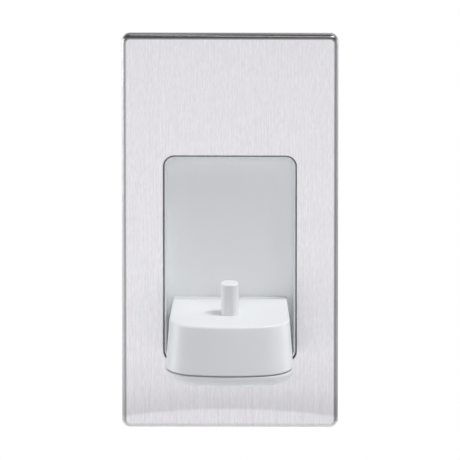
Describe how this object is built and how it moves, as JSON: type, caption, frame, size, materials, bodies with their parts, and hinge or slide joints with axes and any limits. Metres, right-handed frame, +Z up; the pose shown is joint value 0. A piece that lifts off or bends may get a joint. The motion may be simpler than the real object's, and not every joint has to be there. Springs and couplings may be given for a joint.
{
  "type": "in-wall toothbrush charger",
  "caption": "Recessed wall charger for electric toothbrushes: brushed steel cover plate, white niche and a plug-in white pod with an oblong charging peg.",
  "frame": {"origin": "midway between the two box screws, on the plane of the wall's face", "axes": "+X right as seen from the room, +Y into the wall, +Z up"},
  "size_m": [0.085, 0.0733, 0.16],
  "materials": {
    "brushed_steel": "fine vertical brushing",
    "black_liner": "fine moulded texture",
    "white_gloss": "smooth semi-gloss moulding",
    "white_niche": "satin moulding",
    "grey_housing": "spark-eroded moulding texture",
    "seal_foam": "closed-cell foam",
    "seal_rubber": "soft matt rubber",
    "zinc_steel": "bright zinc plate",
    "nickel": "nickel plate",
    "brass": "drawn bright",
    "copper": "enamelled wire",
    "board_green": "solder mask",
    "black_component": "moulded epoxy",
    "terminal_green": "moulded polyamide",
    "ferrite": "sintered",
    "clear_glass": "clear",
    "varistor_blue": "dipped epoxy",
    "capacitor_yellow": "boxed film capacitor",
    "can_sleeve": "shrunk sleeve",
    "tape_yellow": "polyester tape",
    "bobbin_black": "glass-filled moulding"
  },
  "bodies": {
    "wall_unit": {"niche_body": "white_niche", "wall_gasket": "seal_foam", "fixing_screws": "zinc_steel", "plate_magnets": "nickel", "rear_housing": "grey_housing", "housing_screws": "zinc_steel", "pod_dock": "white_gloss", "dock_screws": "zinc_steel", "dock_pins": "brass", "psu_board": "board_green", "board_screws": "zinc_steel", "terminal_block": "terminal_green", "terminal_clamps": "brass", "terminal_screws": "zinc_steel", "fuse": "clear_glass", "fuse_clips": "nickel", "varistor": "varistor_blue", "safety_capacitor": "varistor_blue", "filter_capacitor": "capacitor_yellow", "choke_core": "ferrite", "choke_windings": "copper", "bridge_rectifier": "black_component", "bulk_capacitor": "can_sleeve", "transformer_core": "ferrite", "transformer_bobbin": "bobbin_black", "transformer_winding": "tape_yellow", "control_chips": "black_component", "optocoupler": "black_component", "output_diode": "black_component", "output_capacitor": "can_sleeve", "output_inductor": "ferrite", "resistors": "black_component"},
    "front_cover": {"faceplate": "brushed_steel", "faceplate_liner": "black_liner"},
    "charging_pod": {"pod_shell": "white_gloss", "pod_gasket": "seal_rubber", "pod_base": "white_gloss", "pod_screws": "zinc_steel", "coil_core": "ferrite", "coil_bobbin": "bobbin_black", "coil_winding": "copper", "pod_board": "board_green", "drive_chips": "black_component", "pod_capacitors": "can_sleeve", "socket_block": "bobbin_black", "socket_contacts": "brass"}
  },
  "joints": [
    {"name": "cover_pull", "type": "slide", "parent": "wall_unit", "child": "front_cover", "axis": [0, -1, 0], "range_m": [0, 0.055]},
    {"name": "pod_pull", "type": "slide", "parent": "wall_unit", "child": "charging_pod", "axis": [0, -1, 0], "range_m": [0, 0.045]}
  ]
}
